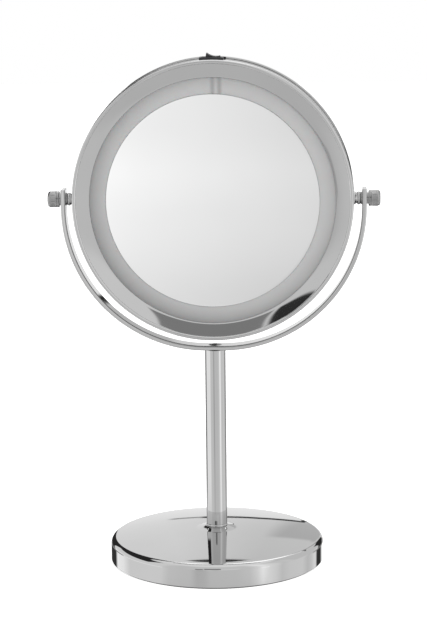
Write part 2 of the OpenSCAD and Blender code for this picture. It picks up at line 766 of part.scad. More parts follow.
module rear_carrier() {
  wall_r = rear_glass_r + 0.5;
  top = -(bezel_in_f - sheet_t) + 0.05;
  seat_in = rear_back(rear_carrier_in_r) + seat_gap + 0.02;
  seat_out = rear_back(wall_r) + seat_gap + 0.02;
  color("whitesmoke") in_head() {
    rotate_extrude() polygon([
      [rear_carrier_in_r, seat_in], [wall_r, seat_out], [wall_r, top], [spigot_r, top],
      [spigot_r, rim_rear_f + 4.9], [spigot_r - 1.2, rim_rear_f + 4.9],
      [spigot_r - 1.2, seat_out + 1.6], [rear_carrier_in_r, seat_in + 1.6]
    ]);
    for (a = [90, 210, 330])
      sector(spigot_r - 0.2, spigot_r + 1.2, lug_f[0], lug_f[1], a - lug_w / 2, a + lug_w / 2);
  }
}

module rear_bezel() {
  bead_c = rear_lip_r - bead_r;
  color("silver") in_head() mirror([0, 0, 1]) rotate_extrude() polygon(concat(
    [[rear_skirt_r, -band_rear_f - 2.4], [rear_lip_r, -band_rear_f - 2.4]],
    arc(bead_c, half - bead_r, bead_r, 0, bead_end, 10),
    dish(bead_c + bead_r * cos(bead_end) - 0.1, 10),
    [[bezel_open_r, bezel_in_f - sheet_t], [ring_out_r, bezel_in_f - sheet_t],
     [bead_c - 1.6, bezel_in_f + dish_drop - sheet_t - 0.3],
     [rear_skirt_r, bezel_in_f + dish_drop - sheet_t - 0.3]]
  ));
}

// ---------------------------------------------------------------- nodes

base_shell();
base_weight();
base_pad();
base_washer();
base_screw();
post_foot_ring();
post_tube();
post_lower_insert();
post_upper_insert();
yoke();
yoke_screw();
drum_band();
chassis();
front_bezel();
diffuser_ring();
front_mirror();
mirror_tape();
mirror_carrier();
light_tray();
led_board();
leds();
resistors();
board_screws();
chassis_screws();
pivot_insert(-1);  // left_pivot_insert
pivot_insert(1);  // right_pivot_insert
collar(-1);  // left_collar
collar(1);  // right_collar
dished_washer(-1);  // left_washer
dished_washer(1);  // right_washer
stud(-1);  // left_stud
stud(1);  // right_stud
knob(-1);  // left_knob
knob(1);  // right_knob
switch_body();
switch_terminals();
switch_rocker();
battery_tray();
battery(1);  // battery_1
battery(2);  // battery_2
battery(3);  // battery_3
battery(4);  // battery_4
contact_plates();
contact_springs();
color([0.7, 0.05, 0.05]) lead(1);  // red_lead
color([0.1, 0.1, 0.1]) lead(-1);  // black_lead
tray_screws();
rear_bezel();
rear_carrier();
rear_tape();
rear_mirror();
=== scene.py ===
"""Looks for a free-standing lit shaving mirror: polished chrome, silvered glass and a frosted light ring.

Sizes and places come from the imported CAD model. The visible metal, glass and plastic are rebuilt here as
smooth turned, swept and extruded meshes. The parts inside keep their CAD meshes, with a finished material.
Outlines are in millimetres: a turned piece has (radius, distance along its axis) points.
"""
import json
import math

import bmesh
import bpy
from mathutils import Matrix, Vector


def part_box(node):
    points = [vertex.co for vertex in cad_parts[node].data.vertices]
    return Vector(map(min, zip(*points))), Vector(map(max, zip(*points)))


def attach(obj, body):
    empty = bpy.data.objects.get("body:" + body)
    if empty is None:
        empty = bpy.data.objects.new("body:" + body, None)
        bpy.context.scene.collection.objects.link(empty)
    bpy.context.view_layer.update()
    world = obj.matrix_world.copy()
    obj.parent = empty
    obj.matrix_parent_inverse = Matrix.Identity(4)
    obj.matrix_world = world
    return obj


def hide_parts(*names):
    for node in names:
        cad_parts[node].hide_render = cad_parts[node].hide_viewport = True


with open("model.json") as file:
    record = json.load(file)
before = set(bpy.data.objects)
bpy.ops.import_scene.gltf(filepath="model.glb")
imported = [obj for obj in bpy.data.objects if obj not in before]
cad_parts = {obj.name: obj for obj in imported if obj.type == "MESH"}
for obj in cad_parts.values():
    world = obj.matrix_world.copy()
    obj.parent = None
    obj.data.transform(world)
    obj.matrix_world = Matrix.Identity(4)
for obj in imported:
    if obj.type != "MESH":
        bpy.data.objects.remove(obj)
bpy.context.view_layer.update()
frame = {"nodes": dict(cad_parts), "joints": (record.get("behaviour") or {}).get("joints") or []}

MM = 0.001
SEGMENTS = 256          # steps round a turned piece
ARC_STEP = 9            # degrees between points on a rounded corner
SHARP_ANGLE = 32        # degrees; a sharper edge than this stays crisp


def size(node):
    """Lowest and highest corner of a CAD node, in millimetres."""
    low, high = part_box(node)
    return low / MM, high / MM


# ---------------------------------------------------------------- sizes taken from the frame

joints = {joint["name"]: joint for joint in frame["joints"]}
PIVOT_Z = joints["head_tilt"]["pos_m"][2] / MM
LIP_R = size("front_bezel")[1].x
HALF = -size("front_bezel")[0].y                # middle of the head to its front lip
BEZEL_BACK = -size("front_bezel")[1].y
BAND_R = size("drum_band")[1].x
BAND_FRONT = -size("drum_band")[0].y
BAND_REAR = -size("drum_band")[1].y
REAR_LIP_R = size("rear_bezel")[1].x
REAR_SKIRT = -size("rear_bezel")[0].y
RING_OUT_R = size("diffuser_ring")[1].x
RING_FRONT = -size("diffuser_ring")[0].y
RING_BACK = -size("diffuser_ring")[1].y
GLASS_R = size("front_mirror")[1].x
GLASS_FRONT = -size("front_mirror")[0].y
GLASS_BACK = -size("front_mirror")[1].y
BASE_R = size("base_shell")[1].x
WALL_FOOT = size("base_shell")[0].z
SEAT_Z = size("base_shell")[1].z
POST_R = size("post_tube")[1].x
TUBE_LOW = size("post_tube")[0].z
TUBE_HIGH = size("post_tube")[1].z
YOKE_X = size("yoke")[1].x
YOKE_TOP = size("yoke")[1].z
YOKE_BOTTOM = size("yoke")[0].z
YOKE_W = size("yoke")[1].y - size("yoke")[0].y

# sizes inside those boxes
SHEET = 0.7             # bezel metal
BEAD_R = 1.3            # rolled lip
BEAD_END = 157          # degrees round the lip to where the dish starts
RING_OVERLAP = 1.4      # how far the bezel laps over the light ring
OPEN_R = RING_OUT_R - RING_OVERLAP
GLASS_GAP = 0.02        # between the mirror and the light ring
DISH_DROP = 1.75
DISH_POWER = 1.15
BEZEL_DEPTH = 2.6       # lip to opening edge
BEZEL_IN = HALF - BEZEL_DEPTH
BAND_T = 1.0
SHOULDER_R = 4.0
DOME_POWER = 2.0
DOME_RISE = 5.4
FLARE_R = 13.7
FLARE_H = 1.2
SEAT_R = 7.0
FLARE_POWER = 1.6
DOME_R = BASE_R - SHOULDER_R
BASE_H = SEAT_Z - FLARE_H - DOME_RISE * (1 - (SEAT_R / DOME_R) ** DOME_POWER)
SHELL_T = 0.9
YOKE_T = 3.0
YOKE_EDGE = 1.0
BEND_FLAT = 5.0
BEND_DROP = 5.4         # pivot to the start of the bend
BEND_Z = PIVOT_Z - BEND_DROP
BOLT_HOLE_R = 3.3
SCREW_HOLE_R = 2.2
EYE_R = 3.0
STUD_HOLE_R = 2.8
# width of a switch terminal blade, and of each painted terminal shadow on the light ring
TERMINAL_W = 2.4

UPRIGHT = Matrix.Identity(4)
HEAD = Matrix.Translation((0, 0, PIVOT_Z)) @ Matrix.Rotation(math.radians(90), 4, "X")
SIDES = {
    side: Matrix.Translation((0, 0, PIVOT_Z)) @ Matrix.Rotation(math.radians(90 * turn), 4, "Y")
    for side, turn in (("left", -1), ("right", 1))
}


# ---------------------------------------------------------------- outlines and meshes

def arc(cx, cy, radius, start, end, steps):
    """Points on an arc, from one angle to another in degrees."""
    angles = [math.radians(start + (end - start) * i / steps) for i in range(steps + 1)]
    return [(cx + radius * math.cos(a), cy + radius * math.sin(a)) for a in angles]


def rounded(outline):
    """Turns a closed outline of (x, y, corner radius) into points, with an arc at each rounded corner."""
    points = []
    for i, (x, y, radius) in enumerate(outline):
        corner = Vector((x, y))
        if radius == 0:
            points.append((x, y))
            continue
        before = (Vector(outline[i - 1][:2]) - corner).normalized()
        after = (Vector(outline[(i + 1) % len(outline)][:2]) - corner).normalized()
        half_angle = before.angle(after) / 2
        reach = radius / math.tan(half_angle)
        centre = corner + (before + after).normalized() * radius / math.sin(half_angle)
        first = corner + before * reach - centre
        last = corner + after * reach - centre
        turn = first.angle_signed(last) * -1
        steps = max(2, math.ceil(math.degrees(abs(turn)) / ARC_STEP))
        for k in range(steps + 1):
            a = turn * k / steps
            points.append((centre.x + first.x * math.cos(a) - first.y * math.sin(a),
                           centre.y + first.x * math.sin(a) + first.y * math.cos(a)))
    return points


def solid(name, points, faces, place=UPRIGHT):
    """A closed mesh from points in millimetres, put in place and turned right side out."""
    mesh = bpy.data.meshes.new(name)
    mesh.from_pydata([(place @ Vector(p)) * MM for p in points], [], faces)
    shape = bmesh.new()
    shape.from_mesh(mesh)
    bmesh.ops.recalc_face_normals(shape, faces=shape.faces)
    shape.to_mesh(mesh)
    shape.free()
    made = bpy.data.objects.new(name, mesh)
    bpy.context.scene.collection.objects.link(made)
    return made


def lathe(name, outline, place=UPRIGHT, segments=SEGMENTS, relief=None):
    """Turns a closed outline about its axis. relief(angle, radius, along) is added to the radius."""
    points, rings, faces = [], [], []
    for radius, along in outline:
        if radius < 1e-6:
            rings.append([len(points)] * segments)
            points.append((0, 0, along))
            continue
        rings.append(range(len(points), len(points) + segments))
        for k in range(segments):
            a = 2 * math.pi * k / segments
            r = radius + (relief(a, radius, along) if relief else 0)
            points.append((r * math.cos(a), r * math.sin(a), along))
    for ring, above in zip(rings, rings[1:] + rings[:1]):
        for k in range(segments):
            n = (k + 1) % segments
            corners = list(dict.fromkeys((ring[k], ring[n], above[n], above[k])))
            if len(corners) > 2:
                faces.append(corners)
    return solid(name, points, faces, place)


def prism(name, outline, low, high, place=UPRIGHT):
    """Extrudes a closed outline along its own third axis."""
    count = len(outline)
    points = [(x, y, z) for z in (low, high) for x, y in outline]
    walls = [(i, (i + 1) % count, count + (i + 1) % count, count + i) for i in range(count)]
    return solid(name, points, walls + [range(count), range(count, 2 * count)], place)


def bevelled(piece, width, angle=SHARP_ANGLE, steps=3):
    """Rounds a piece's sharp edges."""
    shape = bmesh.new()
    shape.from_mesh(piece.data)
    edges = [e for e in shape.edges if e.is_manifold and e.calc_face_angle() > math.radians(angle)]
    bmesh.ops.bevel(shape, geom=edges, offset=width * MM, segments=steps, profile=0.5, affect="EDGES",
                    clamp_overlap=True)
    shape.to_mesh(piece.data)
    shape.free()
    return piece


def combined(piece, *steps):
    """Joins or cuts a piece with others, given as ("UNION" or "DIFFERENCE", other), and uses them up."""
    for operation, other in steps:
        change = piece.modifiers.new("combine", "BOOLEAN")
        change.operation = operation
        change.solver = "EXACT"
        change.object = other
        other.hide_render = True
    depsgraph = bpy.context.evaluated_depsgraph_get()
    mesh = bpy.data.meshes.new_from_object(piece.evaluated_get(depsgraph))
    piece.modifiers.clear()
    piece.data = mesh
    for operation, other in steps:
        bpy.data.objects.remove(other)
    return piece


def rod(radius, start, end, place=UPRIGHT, segments=96):
    """A plain round cutter along the axis of place."""
    return lathe("cutter", [(0, start), (radius, start), (radius, end), (0, end)], place, segments)


def block(low, high, place=UPRIGHT):
    """A plain square cutter or filler."""
    (x0, y0, z0), (x1, y1, z1) = low, high
    return prism("cutter", [(x0, y0), (x1, y0), (x1, y1), (x0, y1)], z0, z1, place)


def finished(piece, node, body, material):
    """Smooths a piece, gives it its material, and lets it stand for its CAD node."""
    piece.name = node + "_surface"
    piece.data.name = piece.name
    piece.data.materials.clear()
    piece.data.materials.append(material)
    piece.data.shade_smooth()
    piece.data.set_sharp_from_angle(angle=math.radians(SHARP_ANGLE))
    flat = piece.modifiers.new("even_normals", "WEIGHTED_NORMAL")
    flat.keep_sharp = True
    flat.weight = 60
    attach(piece, body)
    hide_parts(node)
    return piece


# ---------------------------------------------------------------- shader helpers

def feed(tree, socket, value):
    """Links a socket to another, or sets its value."""
    if isinstance(value, bpy.types.NodeSocket):
        tree.links.new(value, socket)
    else:
        socket.default_value = value


def add(tree, kind, inputs=None, **settings):
    """Adds a shader node."""
    made = tree.nodes.new("ShaderNode" + kind)
    for key, value in settings.items():
        setattr(made, key, value)
    for key, value in (inputs or {}).items():
        feed(tree, made.inputs[key], value)
    return made


def calc(tree, operation, *values):
    """The result of one sum."""
    made = add(tree, "Math", operation=operation)
    for i, value in enumerate(values):
        feed(tree, made.inputs[i], value)
    return made.outputs[0]


def remap(tree, value, low, high, to_low, to_high, smooth=False):
    """Stretches value from one range to another, and stops at its ends."""
    kind = "SMOOTHSTEP" if smooth else "LINEAR"
    made = add(tree, "MapRange", {0: value, 1: low, 2: high, 3: to_low, 4: to_high}, interpolation_type=kind)
    return made.outputs[0]


def window(tree, value, low, high, soft):
    """1 between low and high, falling to 0 over soft on either side."""
    enter = remap(tree, value, low - soft / 2, low + soft / 2, 0, 1, smooth=True)
    leave = remap(tree, value, high - soft / 2, high + soft / 2, 1, 0, smooth=True)
    return calc(tree, "MULTIPLY", enter, leave)


def blend(tree, share, a, b):
    """A number between a and b."""
    return add(tree, "Mix", {0: share, 2: a, 3: b}, data_type="FLOAT").outputs[0]


def tint(tree, share, a, b):
    """A colour between a and b."""
    colours = [(*c, 1) if isinstance(c, tuple) else c for c in (a, b)]
    return add(tree, "Mix", {0: share, 6: colours[0], 7: colours[1]}, data_type="RGBA").outputs[2]


def grain(tree, scale, stretch=(1, 1, 1), detail=3):
    """Noise over the piece, scale being lumps to the metre."""
    where = add(tree, "TexCoord").outputs["Object"]
    pulled = add(tree, "Mapping", {"Vector": where, "Scale": stretch}).outputs[0]
    return add(tree, "TexNoise", {"Vector": pulled, "Scale": scale, "Detail": detail}).outputs[0]


NOISE_SPAN = (0.3, 0.7)     # where most of the noise lies


def wander(tree, scale, low, high, stretch=(1, 1, 1), detail=3):
    """Noise stretched to run from low to high."""
    return remap(tree, grain(tree, scale, stretch, detail), *NOISE_SPAN, low, high)


def new_material(name, metallic=0.0):
    """An empty material with its main shader."""
    material = bpy.data.materials.new(name)
    material.use_nodes = True
    tree = material.node_tree
    tree.nodes.clear()
    shader = add(tree, "BsdfPrincipled", {"Metallic": metallic})
    add(tree, "OutputMaterial", {"Surface": shader.outputs[0]})
    return material, tree, shader


def surface(name, dark, light, rough, metallic=0.0, patch=40, pores=900, depth=0.02, stretch=(1, 1, 1)):
    """A material whose colour and gloss wander in patches, over a fine relief depth millimetres deep."""
    material, tree, shader = new_material(name, metallic)
    patches = wander(tree, patch, 0, 1, stretch)
    feed(tree, shader.inputs["Base Color"], tint(tree, patches, dark, light))
    feed(tree, shader.inputs["Roughness"], wander(tree, patch * 2.7, *rough, stretch, detail=5))
    pits = grain(tree, pores, stretch)
    relief = add(tree, "Bump", {"Height": pits, "Distance": depth * MM, "Strength": 1.0})
    feed(tree, shader.inputs["Normal"], relief.outputs[0])
    return material


def grey(value, cool=0):
    """A grey, or a slightly cool one."""
    return (value, value + cool / 2, value + cool)


def spread_from_axis(tree, shift=(0, 0)):
    """Distance in millimetres from the head's middle line, moved by shift."""
    where = add(tree, "TexCoord").outputs["Object"]
    x, _, z = add(tree, "SeparateXYZ", {0: where}).outputs
    across = calc(tree, "MULTIPLY_ADD", x, 1 / MM, -shift[0])
    up = calc(tree, "MULTIPLY_ADD", z, 1 / MM, -PIVOT_Z - shift[1])
    reach = calc(tree, "SQRT", calc(tree, "ADD", calc(tree, "MULTIPLY", across, across),
                                    calc(tree, "MULTIPLY", up, up)))
    return across, up, reach


def glass_material(name, edge_r):
    """Silvered glass with a ground edge."""
    material, tree, shader = new_material(name, 1.0)
    reach = spread_from_axis(tree)[2]
    edge = remap(tree, reach, edge_r - 0.3, edge_r - 0.2, 0, 1)
    faint = remap(tree, grain(tree, 12), 0.35, 0.65, 0, 1)
    silver = tint(tree, faint, (0.9, 0.901, 0.901), (0.925, 0.926, 0.926))
    feed(tree, shader.inputs["Base Color"], tint(tree, edge, silver, (0.8, 0.81, 0.806)))
    haze = wander(tree, 160, 0.004, 0.012)
    feed(tree, shader.inputs["Roughness"], blend(tree, edge, haze, 0.2))
    return material


def diffuser_material():
    """Frosted acrylic with painted shade: darker from the glass out to the bezel, most at the lower left,
    and with a painted shadow of the two switch terminals in the upper half.
    """
    material, tree, shader = new_material("frosted_acrylic")
    reach = spread_from_axis(tree, SHADE_CENTRE_SHIFT)[2]
    across, up = spread_from_axis(tree)[:2]
    # painted shade: the acrylic darkens from the glass's edge out to the bezel, centred off to the upper
    # right so it is deepest at the lower left; the noise only adds random tone
    bezel_shade = remap(tree, reach, GLASS_R, OPEN_R + 2.5, 0, 1)
    mottled = calc(tree, "MULTIPLY_ADD", grain(tree, 60), 0.08, -0.04)
    share = calc(tree, "ADD", calc(tree, "POWER", bezel_shade, 1.6), mottled)
    # painted shadow of the two switch terminal blades: two soft dark bars in the upper half, blended halfway
    # to dark grey
    low, high = size("switch_terminals")
    first = window(tree, across, low.x, low.x + TERMINAL_W, 2.6)
    second = window(tree, across, high.x - TERMINAL_W, high.x, 2.6)
    above = remap(tree, up, 0, 10, 0, 1)
    terminal_shadows = calc(tree, "MULTIPLY", calc(tree, "ADD", first, second), above)
    body = tint(tree, share, grey(DIFFUSER_LIGHT), grey(DIFFUSER_SHADED_GREY))
    feed(tree, shader.inputs["Base Color"], tint(tree, calc(tree, "MULTIPLY", terminal_shadows, 0.5), body, grey(0.2)))
    feed(tree, shader.inputs["Roughness"], wander(tree, 300, 0.42, 0.55))
    shader.inputs["Subsurface Weight"].default_value = 0.12
    shader.inputs["Subsurface Scale"].default_value = 0.002
    frost = add(tree, "Bump", {"Height": grain(tree, 2500), "Distance": 0.01 * MM, "Strength": 0.6})
    feed(tree, shader.inputs["Normal"], frost.outputs[0])
    return material


def board_material():
    """White solder mask with the ring's copper tracks showing faintly through it."""
    material, tree, shader = new_material("board_white", 0.0)
    reach = spread_from_axis(tree)[2]
    track = calc(tree, "PINGPONG", reach, 1.6)
    ridge = remap(tree, track, 0.75, 0.95, 0, 1, smooth=True)
    patchy = wander(tree, 90, 0, 1)
    mask = tint(tree, patchy, (0.78, 0.8, 0.78), (0.85, 0.86, 0.84))
    faint = calc(tree, "MULTIPLY", ridge, 0.3)
    feed(tree, shader.inputs["Base Color"], tint(tree, faint, mask, (0.6, 0.62, 0.52)))
    feed(tree, shader.inputs["Roughness"], wander(tree, 500, 0.25, 0.4))
    raised = add(tree, "Bump", {"Height": ridge, "Distance": 0.03 * MM, "Strength": 1.0})
    feed(tree, shader.inputs["Normal"], raised.outputs[0])
    return material


def lamp_material():
    """White package with a yellow phosphor window in the middle of its face."""
    material, tree, shader = new_material("lamp_package")
    lamps_r = size("leds")[1].x
    reach = spread_from_axis(tree)[2]
    face = window(tree, reach, lamps_r - 2.3, lamps_r - 0.6, 0.2)
    patchy = wander(tree, 900, 0, 1)
    white = tint(tree, patchy, (0.8, 0.8, 0.76), (0.86, 0.85, 0.8))
    feed(tree, shader.inputs["Base Color"], tint(tree, face, white, (0.85, 0.72, 0.18)))
    feed(tree, shader.inputs["Roughness"], wander(tree, 700, 0.25, 0.45))
    return material


def cell_material():
    """Printed sleeve of a small round cell: a coloured end, a dark body, and bare metal past the sleeve."""
    material, tree, shader = new_material("cell_sleeve")
    where = add(tree, "TexCoord").outputs["Object"]
    up = calc(tree, "MULTIPLY_ADD", add(tree, "SeparateXYZ", {0: where}).outputs[2], 1 / MM, -PIVOT_Z)
    scuff = remap(tree, grain(tree, 220, detail=6), 0.35, 0.65, 0, 1)
    dark = tint(tree, scuff, (0.035, 0.035, 0.04), (0.06, 0.06, 0.065))
    copper = tint(tree, scuff, (0.5, 0.26, 0.09), (0.62, 0.36, 0.15))
    sleeve = tint(tree, remap(tree, up, 10.9, 11.1, 0, 1), dark, copper)
    bare = remap(tree, calc(tree, "ABSOLUTE", up), 23.3, 23.4, 0, 1)
    feed(tree, shader.inputs["Base Color"], tint(tree, bare, sleeve, (0.6, 0.6, 0.6)))
    feed(tree, shader.inputs["Metallic"], blend(tree, bare, 0.35, 1.0))
    feed(tree, shader.inputs["Roughness"], wander(tree, 400, 0.22, 0.38))
    return material


SHADE_CENTRE_SHIFT = (2.0, 2.4)     # millimetres; the painted shade is centred this far to the upper right of the middle, so it is deeper at the lower left
# grey of the acrylic, and the painted shade grey it darkens to next to the bezel
DIFFUSER_LIGHT = 0.53
DIFFUSER_SHADED_GREY = 0.29

CHROME = surface("chrome", grey(0.565), grey(0.6), (0.02, 0.045), 1.0, patch=14, pores=22, depth=0.004)
SATIN = surface("satin_chrome", grey(0.33), grey(0.42), (0.14, 0.26), 1.0, patch=300, pores=2600, depth=0.02)
FRONT_GLASS = glass_material("silvered_glass", GLASS_R)
REAR_GLASS = glass_material("magnifier_glass", RING_OUT_R)
FROSTED = diffuser_material()
WHITE = surface("white_shell", (0.8, 0.8, 0.78), (0.86, 0.86, 0.84), (0.38, 0.55), pores=1400)
BLACK = surface("black_plastic", (0.012, 0.012, 0.014), (0.022, 0.022, 0.025), (0.3, 0.42), patch=200,
                pores=1800, depth=0.012)
STEEL = surface("zinc_plate", grey(0.5), grey(0.64, 0.012), (0.22, 0.4), 1.0, patch=260, pores=1600,
                depth=0.01)
BRASS = surface("brass", (0.66, 0.48, 0.2), (0.76, 0.58, 0.27), (0.2, 0.34), 1.0, patch=180, pores=1500,
                depth=0.01)
IRON = surface("cast_iron", grey(0.05), grey(0.11), (0.55, 0.8), 0.6, patch=120, pores=700, depth=0.12)
FOAM = surface("foam_pad", grey(0.018), grey(0.035), (0.8, 0.95), patch=160, pores=1500, depth=0.1)
TAPE = surface("foam_tape", (0.74, 0.74, 0.71), (0.84, 0.84, 0.81), (0.7, 0.9), patch=140, pores=1300,
               depth=0.08)
BOARD = board_material()
LAMP = lamp_material()
CELL = cell_material()
RED = surface("red_wire", (0.42, 0.02, 0.02), (0.55, 0.04, 0.035), (0.35, 0.5), patch=300, pores=1200)
DARK_WIRE = surface("black_wire", grey(0.015), grey(0.03), (0.35, 0.5), patch=300, pores=1200)

INNER = {
    "iron": (IRON, ["base_weight"]),
    "foam": (FOAM, ["base_pad"]),
    "tape": (TAPE, ["mirror_tape", "rear_tape"]),
    "steel": (STEEL, ["base_washer", "base_screw", "board_screws", "chassis_screws", "tray_screws",
                      "left_stud", "right_stud", "contact_plates", "contact_springs"]),
    "brass": (BRASS, ["post_lower_insert", "post_upper_insert", "left_pivot_insert", "right_pivot_insert",
                      "switch_terminals"]),
    "white": (WHITE, ["chassis", "mirror_carrier", "light_tray", "battery_tray", "rear_carrier"]),
    "board": (BOARD, ["led_board"]),
    "lamp": (LAMP, ["leds"]),
    "black": (BLACK, ["resistors"]),
    "cell": (CELL, ["battery_1", "battery_2", "battery_3", "battery_4"]),
    "red": (RED, ["red_lead"]),
    "wire": (DARK_WIRE, ["black_lead"]),
}


def finish_inner_parts():
    """Gives every CAD node that stays its own finish."""
    for material, nodes in INNER.values():
        for node in nodes:
            slots = frame["nodes"][node].data.materials
            slots.clear()
            slots.append(material)


# ---------------------------------------------------------------- base and post

def dome(radius):
    """Height of the base's skin."""
    height = BASE_H + DOME_RISE * (1 - (radius / DOME_R) ** DOME_POWER)
    if radius < FLARE_R:
        height += FLARE_H * ((FLARE_R - radius) / (FLARE_R - SEAT_R)) ** FLARE_POWER
    return height


def base_shell():
    shoulder_z = BASE_H - SHOULDER_R
    flare = [SEAT_R + (FLARE_R - SEAT_R) * i / 16 for i in range(17)]
    slope = [FLARE_R + (DOME_R - 1.5 - FLARE_R) * i / 60 for i in range(1, 61)]
    outside = [(BOLT_HOLE_R, SEAT_Z)] + [(r, dome(r)) for r in flare + slope]
    outside += arc(DOME_R, shoulder_z, SHOULDER_R, 80, 0, 20)
    foot_w, foot_h = 0.15, 0.3
    outside += [(BASE_R, WALL_FOOT + foot_h), (BASE_R - foot_w, WALL_FOOT)]
    inside = [(BASE_R - SHELL_T + foot_w, WALL_FOOT), (BASE_R - SHELL_T, WALL_FOOT + foot_h)]
    inside += arc(DOME_R, shoulder_z, SHOULDER_R - SHELL_T, 0, 80, 10)
    inside += [(r, dome(r) - SHELL_T) for r in reversed(flare + slope[::4])]
    inside += [(BOLT_HOLE_R, SEAT_Z - SHELL_T)]
    return finished(lathe("base", outside + inside), "base_shell", "stand", CHROME)


def post():
    wall = 1.0
    ring_r = size("post_foot_ring")[1].x
    ring = rounded([(BOLT_HOLE_R, SEAT_Z, 0), (ring_r, SEAT_Z, 0.45), (ring_r, TUBE_LOW, 0.55),
                    (BOLT_HOLE_R, TUBE_LOW, 0)])
    finished(lathe("foot", ring), "post_foot_ring", "stand", CHROME)
    tube = rounded([(POST_R - wall, TUBE_LOW, 0), (POST_R, TUBE_LOW, 0.2), (POST_R, TUBE_HIGH, 0.2),
                    (POST_R - wall, TUBE_HIGH, 0)])
    finished(lathe("post", tube), "post_tube", "stand", CHROME)


# ---------------------------------------------------------------- yoke

def strip_section(inset):
    """Cross-section of the strip as (thickness, width) points, drawn in by inset."""
    t, w, r = YOKE_T / 2 - inset, YOKE_W / 2 - inset, YOKE_EDGE - inset
    points = []
    for x, y, start in ((1, 1, 0), (-1, 1, 90), (-1, -1, 180), (1, -1, 270)):
        points += arc(x * (t - r), y * (w - r), r, start, start + 90, 8)
    return points


def yoke_path():
    """Middle of the strip as (x, z, outward x, outward z, inset), from the left tip to the right one."""
    radius = YOKE_X - YOKE_T / 2 - BEND_FLAT
    tip_r = 0.6
    half = []
    for x, lift in arc(0, 0, tip_r, 90, 0, 6):
        half.append((-YOKE_X + YOKE_T / 2, YOKE_TOP - tip_r + lift, -1, 0, tip_r - x))
    for i in range(1, 6):
        half.append((-YOKE_X + YOKE_T / 2, YOKE_TOP - (YOKE_TOP - BEND_Z) * i / 6, -1, 0, 0))
    for i in range(97):
        a = math.radians(180 + 90 * i / 96)
        out_x, out_z = math.cos(a), math.sin(a)
        half.append((-BEND_FLAT + radius * out_x, BEND_Z + radius * out_z, out_x, out_z, 0))
    return half + [(-x, z, -nx, nz, inset) for x, z, nx, nz, inset in reversed(half)]


def yoke():
    points, faces = [], []
    path = yoke_path()
    for x, z, nx, nz, inset in path:
        points += [(x + nx * t, w, z + nz * t) for t, w in strip_section(inset)]
    count = len(points) // len(path)
    for k in range(len(path) - 1):
        for j in range(count):
            n = (j + 1) % count
            faces.append((k * count + j, k * count + n, (k + 1) * count + n, (k + 1) * count + j))
    faces += [range(count), range(len(points) - count, len(points))]
    strip = combined(solid("yoke_strip", points, faces),
                     ("DIFFERENCE", rod(EYE_R, -YOKE_X - 1, YOKE_X + 1, SIDES["right"])),
                     ("DIFFERENCE", rod(SCREW_HOLE_R, YOKE_BOTTOM - 1, YOKE_BOTTOM + YOKE_T + 1)))
    finished(strip, "yoke", "stand", CHROME)


def yoke_screw():
    """Low domed head with a hexagon socket, and its shank."""
    seat = YOKE_BOTTOM + YOKE_T
    low, high = size("yoke_screw")
    head_r, head_h = high.x, high.z - seat
    dome_r = (head_r ** 2 + head_h ** 2) / (2 * head_h)
    rim = math.degrees(math.acos(head_r / dome_r))
    shank_r, chamfer = 1.95, 0.35
    outline = [(0, low.z), (shank_r - chamfer, low.z), (shank_r, low.z + chamfer), (shank_r, seat)]
    outline += [(head_r - 0.08, seat)]
    outline += arc(0, high.z - dome_r, dome_r, rim, 90, 14)
    socket_r, socket_floor = 1.3, seat + 0.5
    socket = prism("socket", arc(0, 0, socket_r, 0, 300, 5), socket_floor, seat + 2)
    screw = combined(lathe("screw", outline, segments=96), ("DIFFERENCE", socket))
    finished(screw, "yoke_screw", "stand", SATIN)


# ---------------------------------------------------------------- head

def dish(r_out, steps=24):
    """Face of a bezel, from its bead in to its opening."""
    shares = [1 - i / steps for i in range(steps + 1)]
    return [(OPEN_R + t * (r_out - OPEN_R), BEZEL_IN + DISH_DROP * t ** DISH_POWER) for t in shares]


def bezel_face(lip_r):
    """Bead, dish and turned-in edge that both bezels share."""
    bead_c = lip_r - BEAD_R
    edge = [(OPEN_R - 0.02, BEZEL_IN - 0.3), (OPEN_R, BEZEL_IN - SHEET)]
    dish_r = bead_c + BEAD_R * math.cos(math.radians(BEAD_END)) - 0.1
    return arc(bead_c, HALF - BEAD_R, BEAD_R, 0, BEAD_END, 22) + dish(dish_r) + edge


def bezels():
    rim_r = BAND_R - BAND_T - 0.1
    under = BEZEL_IN + DISH_DROP - SHEET - 0.3
    front = [(rim_r, BEZEL_BACK), (rim_r, BAND_FRONT + 0.05), (LIP_R, BAND_FRONT + 0.05)] + bezel_face(LIP_R)
    front += [(RING_OUT_R, BEZEL_IN - SHEET), (rim_r - 1, under), (rim_r - 1, BEZEL_BACK)]
    low, high = size("switch_body")
    slot = block((low.x + 0.7, low.z - PIVOT_Z + 1, BEZEL_BACK - 1),
                 (high.x - 0.7, rim_r + 0.4, -low.y - 0.3), HEAD)
    ring = combined(lathe("front", front, HEAD), ("DIFFERENCE", slot))
    finished(ring, "front_bezel", "head", CHROME)
    skirt_r = BAND_R + 0.2
    rear = [(skirt_r, -REAR_SKIRT), (REAR_LIP_R - 0.1, -REAR_SKIRT), (REAR_LIP_R, -REAR_SKIRT + 0.1)]
    rear += bezel_face(REAR_LIP_R)
    rear += [(RING_OUT_R, BEZEL_IN - SHEET), (REAR_LIP_R - BEAD_R - 1.6, under), (skirt_r, under)]
    finished(lathe("rear", [(r, -f) for r, f in rear], HEAD), "rear_bezel", "rear_cover", CHROME)


def drum_band():
    outline = rounded([(BAND_R - BAND_T, BAND_REAR, 0), (BAND_R, BAND_REAR, 0.25),
                       (BAND_R, BAND_FRONT, 0.25), (BAND_R - BAND_T, BAND_FRONT, 0)])
    low, high = size("switch_body")
    slot = block((low.x + 1.05, 60, -high.y + 0.4), (high.x - 1.05, BAND_R + 3, -low.y - 0.4), HEAD)
    band = combined(lathe("band", outline, HEAD), ("DIFFERENCE", slot),
                    ("DIFFERENCE", rod(STUD_HOLE_R, -LIP_R, LIP_R, SIDES["right"])))
    finished(band, "drum_band", "head", CHROME)


